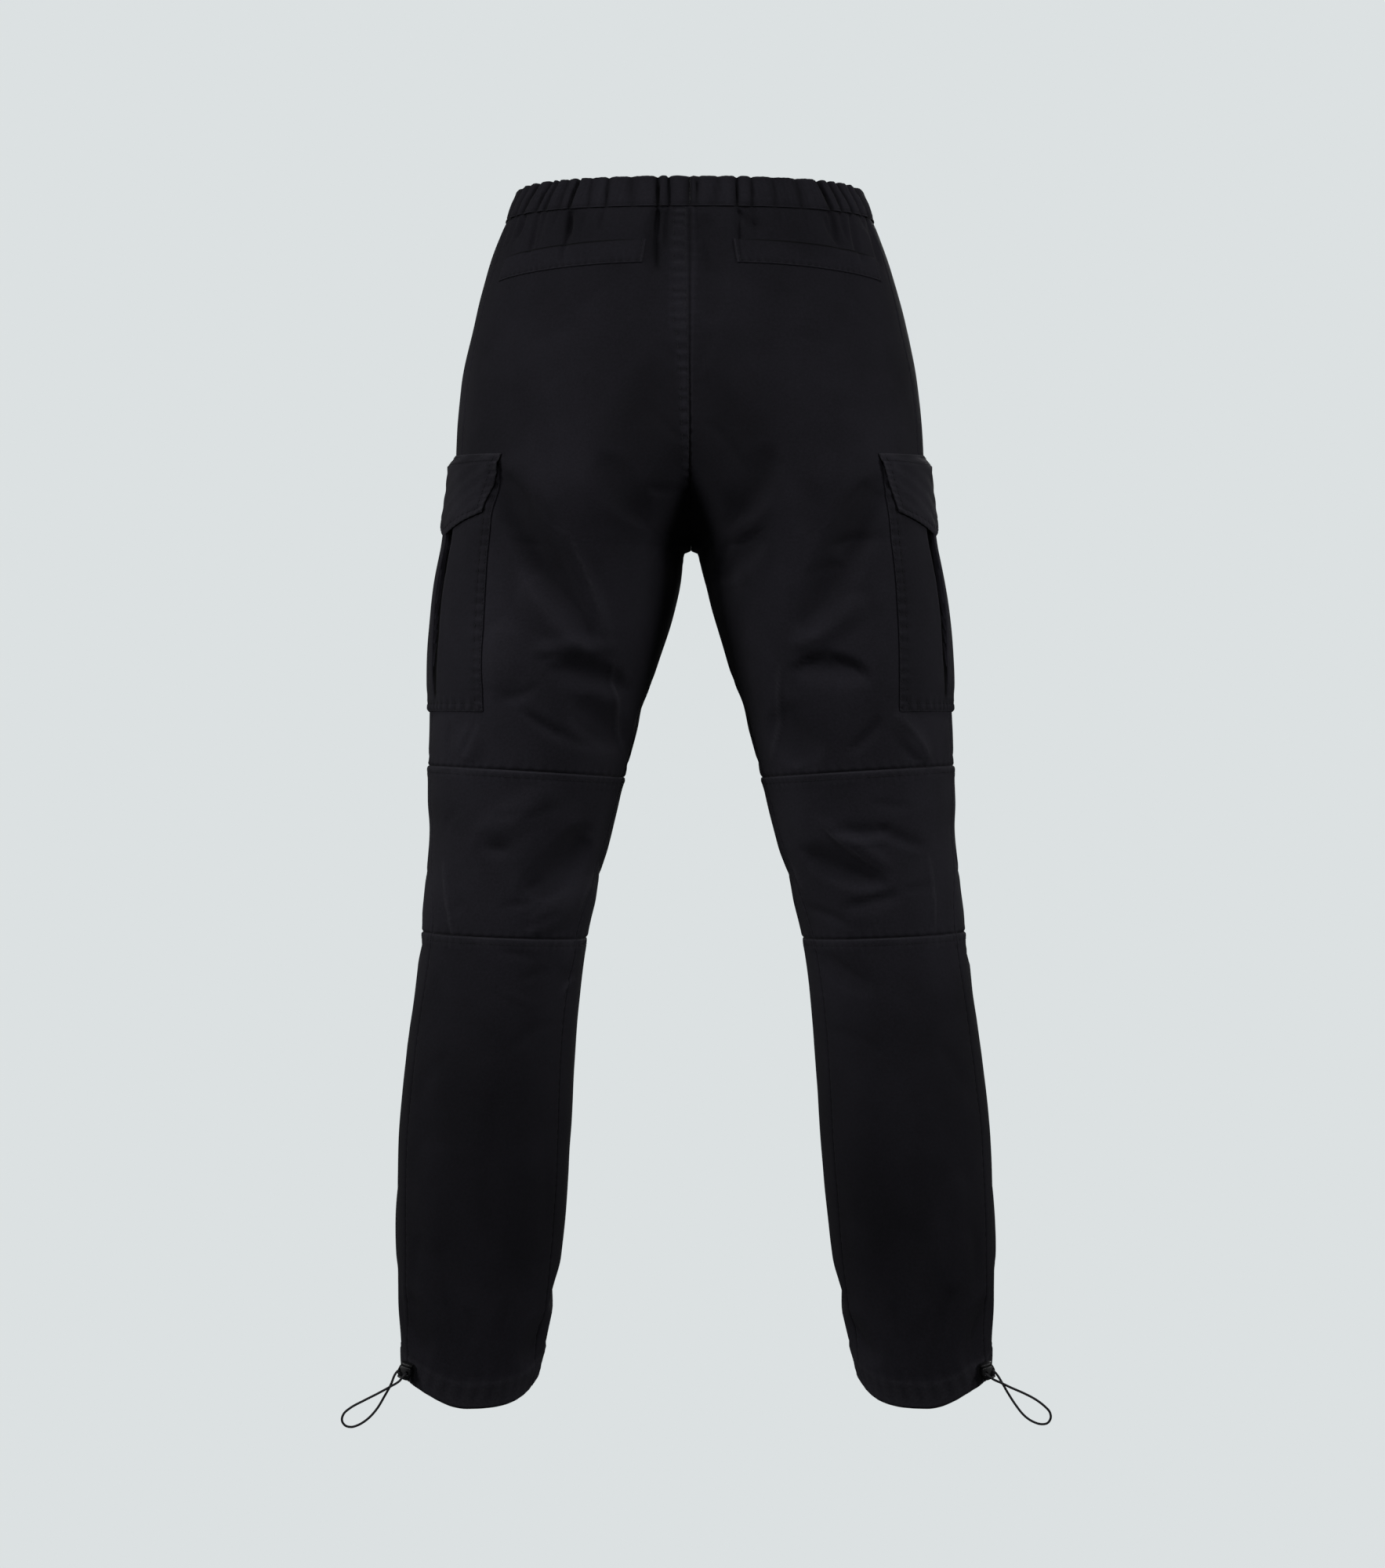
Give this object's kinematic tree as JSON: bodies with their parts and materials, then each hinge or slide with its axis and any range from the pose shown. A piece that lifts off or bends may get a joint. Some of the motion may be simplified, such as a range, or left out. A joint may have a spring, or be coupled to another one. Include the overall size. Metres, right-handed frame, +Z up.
{
  "type": "cargo trousers",
  "caption": "Cargo trousers filled out as worn, with an elastic waist, side pockets with flaps, knee seams and drawn-in hems with cord locks.",
  "frame": {"origin": "middle of the waist opening, level with its rim", "axes": "+X towards the wearer's right, +Y towards the wearer's front, +Z up"},
  "size_m": [0.5933, 0.2528, 1.0385],
  "materials": {
    "twill": "matte black cotton twill",
    "toggle_plastic": "satin moulded",
    "elastic_cord": "braided"
  },
  "bodies": {
    "root": {"waistband_left": "twill", "waistband_right": "twill", "back_upper_left": "twill", "back_upper_right": "twill", "front_upper_left": "twill", "front_upper_right": "twill", "back_knee_left": "twill", "back_knee_right": "twill", "front_knee_left": "twill", "front_knee_right": "twill", "back_lower_left": "twill", "back_lower_right": "twill", "front_lower_left": "twill", "front_lower_right": "twill", "back_welt_left": "twill", "back_welt_right": "twill", "cargo_pocket_left": "twill", "cargo_pocket_right": "twill", "cargo_flap_left": "twill", "cargo_flap_right": "twill", "toggle_body_left": "toggle_plastic", "toggle_body_right": "toggle_plastic", "toggle_button_left": "toggle_plastic", "toggle_button_right": "toggle_plastic", "hem_cord_left": "elastic_cord", "hem_cord_right": "elastic_cord"}
  },
  "joints": []
}
